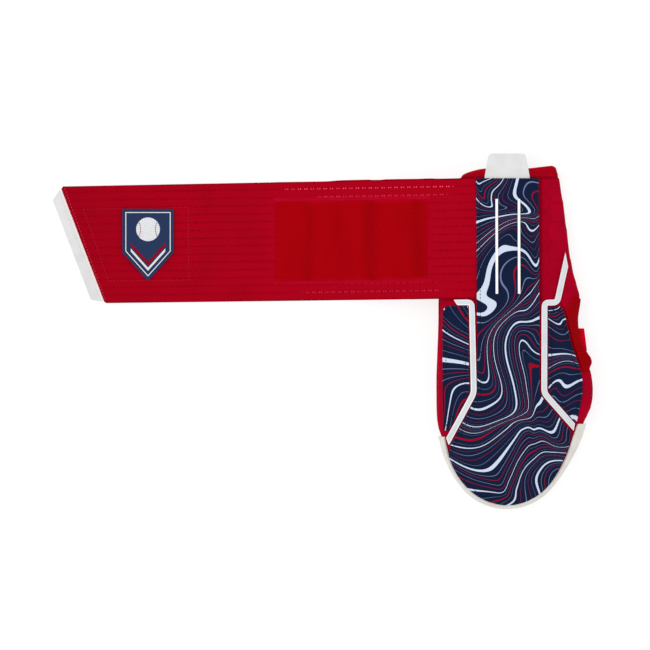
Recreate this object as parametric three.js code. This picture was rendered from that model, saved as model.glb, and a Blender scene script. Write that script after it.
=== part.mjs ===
// Baseball sliding mitt, lying palm down with its wrist strap opened out flat.
// Millimetres, +Z up. +Y runs from the toe to the cuff, +X is the thumb side, and the strap lies towards -X.
// Plan positions are measured from the toe tip on the mitt's centre line.
import * as THREE from "three";

const { degToRad, radToDeg, lerp, smoothstep } = THREE.MathUtils;

// Driving dimensions
const SEWN_GAP = 0.5; // clearance between layers that are sewn together
const TOE_CENTRE = 62; // from the toe tip to the point where the ribs of the rounded toe meet
const BACK_FULLNESS = 2.6; // superellipse power of the domed back
const PALM_FULLNESS = 5; // superellipse power of the flatter palm
const PALM_FLATTENING = 1; // how far the padding is pressed flat where the palm rests
const BUMPER_THICKNESS = 2.2;
const HEM_PROUD = 0.8; // how far the hem stands out from the padded halves
const PANEL_THICKNESS = 1.3;
const GUSSET_THICKNESS = 1.2;
const TRIM_WIDTH = 5.2;
const TRIM_THICKNESS = 2;
const STRAP_THICKNESS = 2;
const PATCH_THICKNESS = 1.5; // hook field, loop field, badge and grip tab
const PULL_TAB_THICKNESS = 1.2;
const SLOPE_REACH = 0.5; // half the distance over which a slope of the back is measured

// Plan outline of the padded pouch: half widths left and right of the centre line
const OUTLINE = [
  { y: 62, left: 58, right: 64.2 },
  { y: 66, left: 59.5, right: 65.4 },
  { y: 71, left: 61.2, right: 66.9 },
  { y: 76, left: 62.4, right: 68.6 },
  { y: 81, left: 62.9, right: 71.2 },
  { y: 88, left: 63.2, right: 74.6 },
  { y: 97, left: 63.2, right: 77.2 },
  { y: 108, left: 63.2, right: 77.6 },
  { y: 118, left: 63.1, right: 76.2 },
  { y: 125, left: 62.7, right: 74.2 },
  { y: 132, left: 62.3, right: 71.6 },
  { y: 138, left: 62, right: 69 },
  { y: 145, left: 61.6, right: 66.2 },
  { y: 152, left: 61.2, right: 64.2 },
  { y: 160, left: 60.8, right: 63 },
  { y: 171, left: 60.5, right: 62.6 },
  { y: 180, left: 60.7, right: 64.4 },
  { y: 186, left: 60.8, right: 65.6 },
  { y: 192, left: 60.2, right: 64.6 },
  { y: 200, left: 58.6, right: 62.1 },
  { y: 212, left: 56.4, right: 58.8 },
  { y: 228, left: 53.4, right: 56.1 },
  { y: 250, left: 49.8, right: 53.4 },
  { y: 272, left: 46.5, right: 50.6 },
  { y: 294, left: 42.6, right: 47 },
];

// Plan outline of the toe and of the print on it. The angle runs from the left side round the tip.
const TOE = [
  { angle: 0, edge: 60.6, print: 54.4 },
  { angle: 20, edge: 58.3, print: 54.3 },
  { angle: 40, edge: 58.5, print: 55 },
  { angle: 60, edge: 60.8, print: 56.6 },
  { angle: 90, edge: 62.2, print: 58.4 },
  { angle: 120, edge: 60.8, print: 57 },
  { angle: 140, edge: 58.6, print: 54.8 },
  { angle: 160, edge: 60.4, print: 53.9 },
  { angle: 180, edge: 66.8, print: 57.2 },
];
const TOE_ANGLE_STEP = 15;

// Heights and wall thicknesses of the padding along the mitt
const PADDING = [
  { y: 62, top: 36, seam: 15, wall: 12, roof: 9, floor: 8 },
  { y: 108, top: 40, seam: 16, wall: 8, roof: 9, floor: 8 },
  { y: 150, top: 40, seam: 16, wall: 7.5, roof: 9, floor: 8 },
  { y: 186, top: 36, seam: 15, wall: 7, roof: 8, floor: 7 },
  { y: 228, top: 30, seam: 13, wall: 6, roof: 6, floor: 5.5 },
  { y: 272, top: 26, seam: 11.5, wall: 5, roof: 5, floor: 4.5 },
  { y: 304, top: 24, seam: 10.5, wall: 4.5, roof: 4.5, floor: 4 },
];
const TOE_EXTRA_WALL = 4; // the wall is thicker at the tip of the toe
const SKIN_STEPS = 7; // facets from the spine to the side seam

// Sewn hem round the cuff opening, with a rounded corner on the strap's side
const HEM = [
  { y: 294.5, left: 42, right: 46.2 },
  { y: 297.5, left: 39, right: 44.8 },
  { y: 300.8, left: 32.4, right: 43.8 },
  { y: 303.6, left: 22, right: 43 },
];

// Toe bumper: where its sides end, how far out its top edge lies there, and how far down it wraps
const BUMPER = { leftEnd: 64, rightEnd: 75.4, leftTop: 54.9, rightTop: 62, bottomTurn: 112, topShare: 0.98 };
const BUMPER_STEPS = { above: 3, below: 3 };
const BUMPER_ROW = 5; // longest spacing of its ribs past the toe

// Half widths of the printed panels along the mitt
const CENTRE_PANEL = [
  { y: 54.6, left: 51.2, right: 54.8 },
  { y: 62, left: 47.4, right: 56.4 },
  { y: 67.5, left: 44.5, right: 57.6 },
  { y: 72, left: 42.2, right: 53.8 },
  { y: 100.8, left: 27.2, right: 29.4 },
  { y: 104, left: 26.7, right: 28.7 },
  { y: 158, left: 27, right: 28.4 },
  { y: 184, left: 27.2, right: 28.3 },
  { y: 293.8, left: 27.6, right: 28 },
];
const CENTRE_PANEL_TOE = [4.6, 5.4, 7, 9.5, 13, 18, 24, 31, 39, 47]; // rows of the rounded end
const PRINT_MARGIN = 0.8; // between the centre panel and the toe bumper
const TOE_WIDTH = { passes: 8, least: 1 }; // how its half width at the toe is closed in on
const PANEL_LIFT = { from: 158, to: 184, height: 2.4 }; // the centre panel rises over the strap's sewn end
const LEFT_PANEL = [
  { y: 69.5, inner: 52.2, outer: 57.2 },
  { y: 102.8, inner: 33.9, outer: 57.6 },
  { y: 173, inner: 34.9, outer: 57.6 },
  { y: 177, inner: 35, outer: 57 },
  { y: 179.2, inner: 35, outer: 55.4 },
  { y: 180.2, inner: 35, outer: 52.6 },
];
const RIGHT_PANEL = [
  { y: 77.4, inner: 59.9, outer: 61.8 },
  { y: 91, inner: 47.8, outer: 65 },
  { y: 103, inner: 37.1, outer: 67 },
  { y: 107, inner: 36.4, outer: 67.2 },
  { y: 114.4, inner: 36.4, outer: 67 },
  { y: 123.6, inner: 36.4, outer: 65 },
  { y: 138.7, inner: 36.3, outer: 59.6 },
  { y: 147.3, inner: 36.3, outer: 56.8 },
  { y: 163.3, inner: 36.3, outer: 53.2 },
  { y: 175.2, inner: 36.3, outer: 50.7 },
  { y: 179.8, inner: 36.3, outer: 47.2 },
];
const PANEL_ROW = 10; // longest row spacing
const PANEL_COLUMNS = { centre: 10, side: 6 };

// Trim strips: corners of the centre line, and how far the left-hand edge runs ahead at the start and the end
const LEFT_TRIM = {
  corners: [
    { x: -46.2, y: 183.4 },
    { x: -31.6, y: 183.4 },
    { x: -29.9, y: 102.8 },
    { x: -53.1, y: 59.6 },
  ],
  startSlant: -3.4,
  endSlant: 4.6,
};
const RIGHT_TRIM = {
  corners: [
    { x: 53, y: 221.6 },
    { x: 44.2, y: 183.2 },
    { x: 32.9, y: 183.2 },
    { x: 32.6, y: 102.8 },
    { x: 59.6, y: 72.4 },
  ],
  startSlant: 12,
  endSlant: -4.1,
};
const TRIM_CORNER = 4; // rounding of the centre line at each corner
const TRIM_ROW = 8;
const TRIM_COLUMNS = 2;
const TRIM_CORNER_STEPS = 4;

// Wrist strap: lower and upper edge along its length, from the slanted free end to the sewn end
const STRAP = [
  { lowX: -357.8, low: 182.8, highX: -395.8, high: 286.8 },
  { lowX: -340, low: 183.2, highX: -356, high: 288 },
  { lowX: -320, low: 183.4, highX: -322, high: 288.5 },
  { lowX: -283, low: 184, highX: -283, high: 289 },
  { lowX: -256, low: 184.3, highX: -256, high: 289.6 },
  { lowX: -205, low: 185, highX: -205, high: 290.6 },
  { lowX: -165, low: 185.5, highX: -165, high: 292.2 },
  { lowX: -100, low: 186.2, highX: -100, high: 293.2 },
  { lowX: -60, low: 186.6, highX: -60, high: 293.8 },
  { lowX: -25.5, low: 186.9, highX: -25.5, high: 294 },
  { lowX: -20, low: 190, highX: -20, high: 283 },
  { lowX: 24, low: 190, highX: 24, high: 283 },
];
const STRAP_ROW = 10;
const STRAP_COLUMNS = 4;
const STRAP_DRAPE = { foot: -162, top: -30 }; // between these it slopes from the surface up to the back
const STRAP_RAISED = { from: -256, to: -283 }; // beyond these it lies on the hook field

// Pieces of the strap
const END_TAB = [
  { y: 184.4, tip: -363, root: -349.8 },
  { y: 186, tip: -370.4, root: -350.6 },
  { y: 274.6, tip: -402.8, root: -383.2 },
  { y: 284, tip: -396.6, root: -386.2 },
];
const HOOK_PATCH = [
  { y: 203.6, outer: -354.4, inner: -283.4 },
  { y: 266, outer: -377.4, inner: -283.4 },
];
const LOOP_PATCH = { left: -206.4, right: -70.8, low: 204, high: 273.4 };
const BADGE = { x: -319.8, rows: [{ y: 203.4, half: 1 }, { y: 228, half: 23 }, { y: 266.8, half: 23 }] };

// Pieces on the back and the thumb side
const ACCENT_BAR = { left: -9.4, right: 10.4, low: 191, high: 275.4, half: 1.15, thickness: 0.5 };
const PULL_TAB = [
  { y: 286.4, half: 21 },
  { y: 294, half: 20.4 },
  { y: 303, half: 18.7 },
  { y: 311.6, half: 17.2 },
  { y: 314.6, half: 16.4 },
  { y: 315.8, half: 14.8 },
];
const PULL_TAB_COLUMNS = 6;
const SIDE_TAB = { low: 140.4, high: 160.4, lowReach: 71.3, highReach: 68.8, thickness: 2.4, row: 4 };
const GUSSET = { topMargin: 1.2, lowTurn: 80, row: 6, steps: 4 };
const GUSSET_PUFF = [
  { y: 122, puff: 0 },
  { y: 127, puff: 1.6 },
  { y: 131.5, puff: 3.8 },
  { y: 136, puff: 4.2 },
  { y: 139.4, puff: 0.6 },
  { y: 146, puff: 0 },
  { y: 187, puff: 0 },
];

const plan = (x, y) => new THREE.Vector2(x, y);

// One column of a table as a smooth curve over another column.
function smoothColumn(rows, key, column) {
  const keys = rows.map((row) => row[key]);
  const values = rows.map((row) => row[column]);
  const curve = new THREE.CubicInterpolant(keys, values, 1);
  return (at) => curve.evaluate(at)[0];
}

// One column of a table as straight lines over another column.
function straightColumn(rows, key, column) {
  const keys = rows.map((row) => row[key]);
  const values = rows.map((row) => row[column]);
  const line = new THREE.LinearInterpolant(keys, values, 1);
  return (at) => line.evaluate(at)[0];
}

// Shares from 0 to 1 in even steps.
function shares(count) {
  return Array.from({ length: count + 1 }, (_, i) => i / count);
}

// Values from a to b in even steps no longer than the given one.
function steps(a, b, longest) {
  const count = Math.max(1, Math.ceil(Math.abs(b - a) / longest));
  return shares(count).map((share) => lerp(a, b, share));
}

// All the values of a table's column, with extra ones in its long stretches.
function stations(table, key, longest) {
  const more = table.slice(1).flatMap((row, i) => steps(table[i][key], row[key], longest).slice(1));
  return [table[0][key], ...more];
}

const outlineLeft = smoothColumn(OUTLINE, "y", "left");
const outlineRight = smoothColumn(OUTLINE, "y", "right");
const toeEdge = smoothColumn(TOE, "angle", "edge");
const toePrint = smoothColumn(TOE, "angle", "print");
const paddingTop = smoothColumn(PADDING, "y", "top");
const paddingSeam = smoothColumn(PADDING, "y", "seam");
const paddingWall = smoothColumn(PADDING, "y", "wall");
const paddingRoof = smoothColumn(PADDING, "y", "roof");
const paddingFloor = smoothColumn(PADDING, "y", "floor");

// A rib is a vertical cut through the pouch from the spine (foot) out to the side seam (edge).
function makeRib(foot, edge, y, wall) {
  return {
    foot,
    edge,
    wall,
    top: paddingTop(y),
    seam: paddingSeam(y),
    low: 0,
    roof: paddingRoof(y),
    floor: paddingFloor(y),
    flattening: PALM_FLATTENING,
  };
}

// Rib across the mitt at a distance y from the toe tip; side is -1 for left and 1 for right.
function sideRib(y, side, halfWidth = side < 0 ? outlineLeft(y) : outlineRight(y)) {
  return makeRib(plan(0, y), plan(side * halfWidth, y), y, paddingWall(y));
}

// Rib of the rounded toe in the direction of the angle.
function toeRib(angle) {
  const turn = degToRad(angle);
  const reach = toeEdge(angle) - BUMPER_THICKNESS - SEWN_GAP;
  const foot = plan(0, TOE_CENTRE);
  const edge = plan(-Math.cos(turn), -Math.sin(turn)).multiplyScalar(reach).add(foot);
  return makeRib(foot, edge, TOE_CENTRE, paddingWall(TOE_CENTRE) + TOE_EXTRA_WALL * Math.sin(turn));
}

// The rib of the hollow inside a rib's padding.
function hollowRib(rib) {
  const inward = rib.foot.clone().sub(rib.edge).setLength(rib.wall);
  const edge = rib.edge.clone().add(inward);
  return { ...rib, edge, top: rib.top - rib.roof, low: rib.floor, flattening: 0 };
}

// Point on a rib's skin: turn 0 is the spine of the back, 90 the side seam and 180 the middle of the palm.
function ribPoint(rib, turn, out = 0) {
  const onBack = turn <= 90;
  const power = onBack ? BACK_FULLNESS : PALM_FULLNESS;
  const height = onBack ? rib.top - rib.seam : rib.seam - rib.low + rib.flattening;
  const reach = rib.edge.distanceTo(rib.foot);
  const across = Math.max(Math.sin(degToRad(turn)), 0) ** (2 / power);
  const rise = Math.abs(Math.cos(degToRad(turn))) ** (2 / power);
  const normal = plan(across ** (power - 1) / reach, rise ** (power - 1) / height);
  normal.setLength(out);
  const at = rib.edge.clone().sub(rib.foot).setLength(across * reach + normal.x).add(rib.foot);
  const climb = rise * height + normal.y;
  const z = onBack ? rib.seam + climb : Math.max(rib.low, rib.seam - climb);
  return new THREE.Vector3(at.x, at.y, z);
}

// The turn at which a rib of the back has reached a share of its half width.
function turnAtShare(share) {
  return radToDeg(Math.asin(share ** (BACK_FULLNESS / 2)));
}

// Height of the padded back at a plan point.
function backHeight(x, y) {
  const toeAngle = radToDeg(Math.atan2(TOE_CENTRE - y, -x));
  const rib = y < TOE_CENTRE ? toeRib(toeAngle) : sideRib(y, x < 0 ? -1 : 1);
  const share = plan(x, y).distanceTo(rib.foot) / rib.edge.distanceTo(rib.foot);
  const rise = (1 - Math.min(share, 1) ** BACK_FULLNESS) ** (1 / BACK_FULLNESS);
  return rib.seam + (rib.top - rib.seam) * rise;
}

// How much longer a slope of the back is than its plan, at a plan point.
function backSteepness(x, y) {
  const slopeX = (backHeight(x + SLOPE_REACH, y) - backHeight(x - SLOPE_REACH, y)) / (2 * SLOPE_REACH);
  const slopeY = (backHeight(x, y + SLOPE_REACH) - backHeight(x, y - SLOPE_REACH)) / (2 * SLOPE_REACH);
  return Math.hypot(1, slopeX, slopeY);
}

// The same triangles, turned round if they enclose a negative volume.
function facingOut(corners) {
  let volume = 0;
  for (let i = 0; i < corners.length; i += 3) {
    volume += corners[i].dot(corners[i + 1].clone().cross(corners[i + 2]));
  }
  return volume < 0 ? corners.toReversed() : corners;
}

const SAME_POINT = 1e-4; // points closer than this are one corner

// Closed solid between two grids of points. A wall closes each end of the columns unless they meet there.
function gridSolid(outer, inner, walls = { first: true, last: true }) {
  const corners = [];
  const apart = (a, b) => a.distanceTo(b) > SAME_POINT;
  const triangle = (a, b, c) => {
    if (apart(a, b) && apart(b, c) && apart(c, a)) corners.push(a, b, c);
  };
  const strip = (rowA, rowB) => {
    for (let i = 0; i + 1 < rowA.length; i++) {
      triangle(rowA[i], rowA[i + 1], rowB[i + 1]);
      triangle(rowA[i], rowB[i + 1], rowB[i]);
    }
  };
  const column = (grid, index) => grid.map((row) => row.at(index));
  for (let r = 0; r + 1 < outer.length; r++) {
    strip(outer[r], outer[r + 1]);
    strip(inner[r + 1], inner[r]);
  }
  strip(inner[0], outer[0]);
  strip(outer.at(-1), inner.at(-1));
  if (walls.first) strip(column(outer, 0), column(inner, 0));
  if (walls.last) strip(column(inner, -1), column(outer, -1));
  return new THREE.BufferGeometry().setFromPoints(facingOut(corners));
}

// Sheet of even thickness over rows of plan points, with its lower face at underside(x, y).
function sheetSolid(rows, underside, thickness) {
  const lower = rows.map((row) => row.map((p) => new THREE.Vector3(p.x, p.y, underside(p.x, p.y))));
  const upper = lower.map((row) => row.map((p) => new THREE.Vector3(p.x, p.y, p.z + thickness)));
  return gridSolid(upper, lower);
}

// Row of plan points from a to b, either even or closer together towards both ends.
function evenRow(a, b, count) {
  return shares(count).map((share) => a.clone().lerp(b, share));
}
function easedRow(a, b, count) {
  return shares(count).map((share) => a.clone().lerp(b, (1 - Math.cos(Math.PI * share)) / 2));
}

const mitt = new THREE.Group();

function addPiece(name, geometry, finish) {
  const mesh = new THREE.Mesh(geometry, new THREE.MeshStandardMaterial({ ...finish, metalness: 0 }));
  mesh.name = name;
  mitt.add(mesh);
}

// Finishes of the cloths and the rubbery trim
const RED_KNIT = { color: 0xa6001f, roughness: 0.85 };
const RED_WEBBING = { color: 0xb60621, roughness: 0.8 };
const DARK_RED_RIB = { color: 0x8b0209, roughness: 0.9 };
const DARK_RED_LOOP = { color: 0x9c000c, roughness: 0.95 };
const NAVY_PRINT = { color: 0x16203c, roughness: 0.75 };
const WHITE_TRIM = { color: 0xe2e8ea, roughness: 0.5 };
const OFF_WHITE = { color: 0xe1e0dc, roughness: 0.55 };

// Padded halves: back and palm, sewn together along the side seam and open at the cuff
const TOE_ANGLES = steps(0, 180, TOE_ANGLE_STEP);

function paddedHalf(spineTurn, seamShift) {
  const along = OUTLINE.slice(1).map((row) => row.y);
  const left = along.map((y) => sideRib(y, -1)).reverse();
  const right = along.map((y) => sideRib(y, 1));
  const ribs = [...left, ...TOE_ANGLES.map(toeRib), ...right];
  const shifted = ribs.map((rib) => ({ ...rib, seam: rib.seam + seamShift }));
  const turns = shares(SKIN_STEPS).map((share) => lerp(spineTurn, 90, share));
  const outer = shifted.map((rib) => turns.map((turn) => ribPoint(rib, turn)));
  const inner = shifted.map((rib) => turns.map((turn) => ribPoint(hollowRib(rib), turn)));
  return gridSolid(outer, inner, { first: false, last: true });
}
addPiece("back_half", paddedHalf(0, SEWN_GAP / 2), RED_KNIT);
addPiece("palm_half", paddedHalf(180, -SEWN_GAP / 2), RED_KNIT);

// Hem: a padded ring that finishes the cuff opening
function cuffHem() {
  const turns = [...shares(SKIN_STEPS), ...shares(SKIN_STEPS).map((share) => share + 1).slice(1)];
  const ring = (row, shape, out) => {
    const halfRing = (side, width) => {
      const rib = shape(sideRib(row.y, side, width));
      return turns.map((turn) => ribPoint(rib, turn * 90, out));
    };
    return [...halfRing(1, row.right), ...halfRing(-1, row.left).reverse().slice(1)];
  };
  const outer = HEM.map((row) => ring(row, (rib) => rib, HEM_PROUD));
  const inner = HEM.map((row) => ring(row, hollowRib, 0));
  return gridSolid(outer, inner, { first: false, last: false });
}
addPiece("cuff_hem", cuffHem(), RED_KNIT);

// Toe bumper: a rand sewn round the fingertip end, from the print down to the palm
function toeBumper() {
  const rightEdge = [
    { y: TOE_CENTRE, top: toePrint(180) },
    { y: BUMPER.rightEnd, top: BUMPER.rightTop },
  ];
  const rightTop = straightColumn(rightEdge, "y", "top");
  const rightYs = stations(rightEdge, "y", BUMPER_ROW).slice(1);
  const edges = [
    { rib: sideRib(BUMPER.leftEnd, -1), top: BUMPER.leftTop },
    ...TOE_ANGLES.map((angle) => ({ rib: toeRib(angle), top: toePrint(angle) })),
    ...rightYs.map((y) => ({ rib: sideRib(y, 1), top: rightTop(y) })),
  ];
  const skin = (out) =>
    edges.map(({ rib, top }) => {
      const topTurn = turnAtShare(Math.min(top / rib.edge.distanceTo(rib.foot), BUMPER.topShare));
      const above = shares(BUMPER_STEPS.above).map((share) => lerp(topTurn, 90, share));
      const below = shares(BUMPER_STEPS.below).map((share) => lerp(90, BUMPER.bottomTurn, share));
      return [...above, ...below.slice(1)].map((turn) => ribPoint(rib, turn, out));
    });
  return gridSolid(skin(SEWN_GAP + BUMPER_THICKNESS), skin(SEWN_GAP));
}
addPiece("toe_bumper", toeBumper(), OFF_WHITE);

// Printed panels
const onBack = (x, y) => backHeight(x, y) + SEWN_GAP * backSteepness(x, y);
const panelLift = (y) => PANEL_LIFT.height * smoothstep(y, PANEL_LIFT.from, PANEL_LIFT.to);
const underCentrePanel = (x, y) => onBack(x, y) + panelLift(y);
const overCentrePanel = (x, y) => underCentrePanel(x, y) + PANEL_THICKNESS + SEWN_GAP;

// Half width of the centre panel where the rounded toe ends it.
function toeHalfWidth(y, side) {
  const drop = TOE_CENTRE - y;
  let half = drop;
  for (let pass = 0; pass < TOE_WIDTH.passes; pass++) {
    const reach = toePrint(radToDeg(Math.atan2(drop, -side * half))) - PRINT_MARGIN;
    half = Math.sqrt(Math.max(reach ** 2 - drop ** 2, TOE_WIDTH.least ** 2));
  }
  return half;
}

function centrePanel() {
  const left = straightColumn(CENTRE_PANEL, "y", "left");
  const right = straightColumn(CENTRE_PANEL, "y", "right");
  const toe = CENTRE_PANEL_TOE.map((y) => ({ y, left: toeHalfWidth(y, -1), right: toeHalfWidth(y, 1) }));
  const rest = stations(CENTRE_PANEL, "y", PANEL_ROW).map((y) => ({ y, left: left(y), right: right(y) }));
  const rows = [...toe, ...rest].map((row) =>
    easedRow(plan(-row.left, row.y), plan(row.right, row.y), PANEL_COLUMNS.centre),
  );
  return sheetSolid(rows, underCentrePanel, PANEL_THICKNESS);
}
addPiece("back_panel", centrePanel(), NAVY_PRINT);

function sidePanel(table, side) {
  const inner = straightColumn(table, "y", "inner");
  const outer = straightColumn(table, "y", "outer");
  const rows = stations(table, "y", PANEL_ROW).map((y) =>
    easedRow(plan(side * inner(y), y), plan(side * outer(y), y), PANEL_COLUMNS.side),
  );
  return sheetSolid(rows, onBack, PANEL_THICKNESS);
}
addPiece("side_panel_left", sidePanel(LEFT_PANEL, -1), NAVY_PRINT);
addPiece("side_panel_right", sidePanel(RIGHT_PANEL, 1), NAVY_PRINT);

// Trim strips: ribbons of even width along a centre line with rounded corners
function roundedPath(corners) {
  const at = corners.map(({ x, y }) => plan(x, y));
  const towards = (from, to) => to.clone().sub(from).setLength(TRIM_CORNER).add(from);
  const path = new THREE.Path().moveTo(at[0].x, at[0].y);
  for (let i = 1; i + 1 < at.length; i++) {
    const before = towards(at[i], at[i - 1]);
    const after = towards(at[i], at[i + 1]);
    path.lineTo(before.x, before.y).quadraticCurveTo(at[i].x, at[i].y, after.x, after.y);
  }
  return path.lineTo(at.at(-1).x, at.at(-1).y);
}

function trimStrip({ corners, startSlant, endSlant }) {
  const points = roundedPath(corners).curves.flatMap((curve, c) => {
    const fewest = curve.isLineCurve ? 1 : TRIM_CORNER_STEPS;
    const count = Math.max(Math.ceil(curve.getLength() / TRIM_ROW), fewest);
    const place = (share) => ({ at: curve.getPoint(share), along: curve.getTangent(share) });
    const places = shares(count).map(place);
    return c === 0 ? places : places.slice(1);
  });
  const rows = points.map(({ at, along }, i) => {
    const slant = i === 0 ? startSlant : i === points.length - 1 ? endSlant : 0;
    const half = plan(-along.y, along.x).multiplyScalar(TRIM_WIDTH / 2);
    half.addScaledVector(along, slant / 2);
    return evenRow(at.clone().add(half), at.clone().sub(half), TRIM_COLUMNS);
  });
  return sheetSolid(rows, onBack, TRIM_THICKNESS);
}
addPiece("trim_strip_left", trimStrip(LEFT_TRIM), WHITE_TRIM);
addPiece("trim_strip_right", trimStrip(RIGHT_TRIM), WHITE_TRIM);

// Accent bars: two thin plain bars on the narrow part of the centre panel
function accentBar(x) {
  const rows = steps(ACCENT_BAR.low, ACCENT_BAR.high, PANEL_ROW).map((y) =>
    evenRow(plan(x - ACCENT_BAR.half, y), plan(x + ACCENT_BAR.half, y), 1),
  );
  return sheetSolid(rows, overCentrePanel, ACCENT_BAR.thickness);
}
addPiece("accent_bar_left", accentBar(ACCENT_BAR.left), WHITE_TRIM);
addPiece("accent_bar_right", accentBar(ACCENT_BAR.right), WHITE_TRIM);

// Pull tab: sewn in under the top of the centre panel and standing out past the cuff
function pullTab() {
  const half = straightColumn(PULL_TAB, "y", "half");
  const rows = stations(PULL_TAB, "y", PANEL_ROW).map((y) =>
    evenRow(plan(-half(y), y), plan(half(y), y), PULL_TAB_COLUMNS),
  );
  return sheetSolid(rows, (x, y) => onBack(x, y) + HEM_PROUD, PULL_TAB_THICKNESS);
}
addPiece("pull_tab", pullTab(), OFF_WHITE);

// Gusset: a ribbed strip over the shoulder of the thumb side, puckered out at its lower end
function sideGusset() {
  const panelEdge = straightColumn(RIGHT_PANEL, "y", "outer");
  const puff = straightColumn(GUSSET_PUFF, "y", "puff");
  const skin = (out) =>
    stations(GUSSET_PUFF, "y", GUSSET.row).map((y) => {
      const rib = sideRib(y, 1);
      const topTurn = turnAtShare((panelEdge(y) + GUSSET.topMargin) / rib.edge.x);
      const turns = shares(GUSSET.steps).map((share) => lerp(topTurn, GUSSET.lowTurn, share));
      return turns.map((turn, i) => ribPoint(rib, turn, out(y, i / GUSSET.steps)));
    });
  const outside = (y, share) => SEWN_GAP + GUSSET_THICKNESS + puff(y) * smoothstep(share, 0, 1);
  return gridSolid(skin(outside), skin(() => SEWN_GAP));
}
addPiece("side_gusset", sideGusset(), DARK_RED_RIB);

// Side tab: the end of a folded webbing, sewn into the side seam
function sideTab() {
  const reach = straightColumn(
    [{ y: SIDE_TAB.low, x: SIDE_TAB.lowReach }, { y: SIDE_TAB.high, x: SIDE_TAB.highReach }],
    "y",
    "x",
  );
  const rows = steps(SIDE_TAB.low, SIDE_TAB.high, SIDE_TAB.row).map((y) =>
    evenRow(plan(outlineRight(y) + SEWN_GAP, y), plan(reach(y), y), 1),
  );
  return sheetSolid(rows, (x, y) => paddingSeam(y) - SIDE_TAB.thickness / 2, SIDE_TAB.thickness);
}
addPiece("side_tab", sideTab(), RED_WEBBING);

// Wrist strap: flat on the surface, then up over the side of the cuff and under the centre panel
function strapUnderside(x, y) {
  if (x > STRAP_DRAPE.top) return onBack(x, y);
  const climb = smoothstep(x, STRAP_DRAPE.foot, STRAP_DRAPE.top) * onBack(STRAP_DRAPE.top, y);
  const raised = 1 - smoothstep(x, STRAP_RAISED.to, STRAP_RAISED.from);
  return climb + raised * (PATCH_THICKNESS + SEWN_GAP);
}
const overStrap = (x, y) => strapUnderside(x, y) + STRAP_THICKNESS + SEWN_GAP;

function wristStrap() {
  const column = (name) => straightColumn(STRAP, "lowX", name);
  const [low, highX, high] = ["low", "highX", "high"].map(column);
  const rows = stations(STRAP, "lowX", STRAP_ROW).map((x) =>
    evenRow(plan(x, low(x)), plan(highX(x), high(x)), STRAP_COLUMNS),
  );
  return sheetSolid(rows, strapUnderside, STRAP_THICKNESS);
}
addPiece("wrist_strap", wristStrap(), RED_KNIT);

function loopPatch() {
  const rows = steps(LOOP_PATCH.left, LOOP_PATCH.right, STRAP_ROW).map((x) =>
    evenRow(plan(x, LOOP_PATCH.low), plan(x, LOOP_PATCH.high), STRAP_COLUMNS),
  );
  return sheetSolid(rows, overStrap, PATCH_THICKNESS);
}
addPiece("loop_patch", loopPatch(), DARK_RED_LOOP);

// Flat pieces at the strap's free end: the hook field and the grip tab under it, and the badge on top
function flatPiece(table, from, to, underside) {
  const rows = table.map((row) => [plan(row[from], row.y), plan(row[to], row.y)]);
  return sheetSolid(rows, underside, PATCH_THICKNESS);
}
const badgeRows = BADGE.rows.map(({ y, half }) => ({ y, left: BADGE.x - half, right: BADGE.x + half }));
addPiece("hook_patch", flatPiece(HOOK_PATCH, "outer", "inner", () => 0), DARK_RED_LOOP);
addPiece("strap_end_tab", flatPiece(END_TAB, "tip", "root", () => 0), OFF_WHITE);
addPiece("strap_badge", flatPiece(badgeRows, "left", "right", overStrap), NAVY_PRINT);

// The origin is the middle of the mitt's footprint, on the surface that it lies on
const box = new THREE.Box3().setFromObject(mitt);
const middle = box.getCenter(new THREE.Vector3());
mitt.position.set(-middle.x, -middle.y, -box.min.z);

export default mitt;
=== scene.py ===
import math
import bpy
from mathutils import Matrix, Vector, geometry, noise
from mathutils.bvhtree import BVHTree


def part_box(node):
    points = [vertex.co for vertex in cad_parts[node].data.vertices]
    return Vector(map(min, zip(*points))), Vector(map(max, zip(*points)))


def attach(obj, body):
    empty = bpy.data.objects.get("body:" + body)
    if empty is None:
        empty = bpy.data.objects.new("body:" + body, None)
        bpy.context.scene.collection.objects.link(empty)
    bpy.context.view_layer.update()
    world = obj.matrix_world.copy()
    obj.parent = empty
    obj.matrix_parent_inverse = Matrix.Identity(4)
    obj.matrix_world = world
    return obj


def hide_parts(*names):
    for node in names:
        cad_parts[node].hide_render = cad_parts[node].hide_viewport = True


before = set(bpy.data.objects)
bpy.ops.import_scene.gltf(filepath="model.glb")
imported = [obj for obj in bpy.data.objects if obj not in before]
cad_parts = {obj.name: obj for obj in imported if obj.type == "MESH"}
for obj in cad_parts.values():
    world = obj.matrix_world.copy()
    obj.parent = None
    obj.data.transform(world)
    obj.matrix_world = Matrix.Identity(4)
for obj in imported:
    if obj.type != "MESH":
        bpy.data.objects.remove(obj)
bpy.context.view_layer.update()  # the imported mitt, 19 nodes on one body
scene = bpy.context.scene
mm = 0.001

# Plan places are in mm from the toe tip, on the mitt's centre line
tabLow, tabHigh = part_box("pull_tab")
centreX = (tabLow.x + tabHigh.x) / 2
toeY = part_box("toe_bumper")[0].y + 0.2 * mm


def spot(x, y, z=0):
    return Vector((centreX + x * mm, toeY + y * mm, z * mm))


def inPlan(place):  # the same, back from metres
    return (place.x - centreX) / mm, (place.y - toeY) / mm


def smoothStep(value, low, high):
    share = min(1, max(0, (value - low) / (high - low)))
    return share * share * (3 - 2 * share)


# Shaping tools

def pick(piece):  # only this piece stays selected
    bpy.ops.object.select_all(action="DESELECT")
    piece.select_set(True)
    bpy.context.view_layer.objects.active = piece


def newPiece(name, add, **settings):  # a primitive, alone in the selection
    bpy.ops.object.select_all(action="DESELECT")
    add(**settings)
    piece = bpy.context.object
    piece.name = name
    return piece


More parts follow.
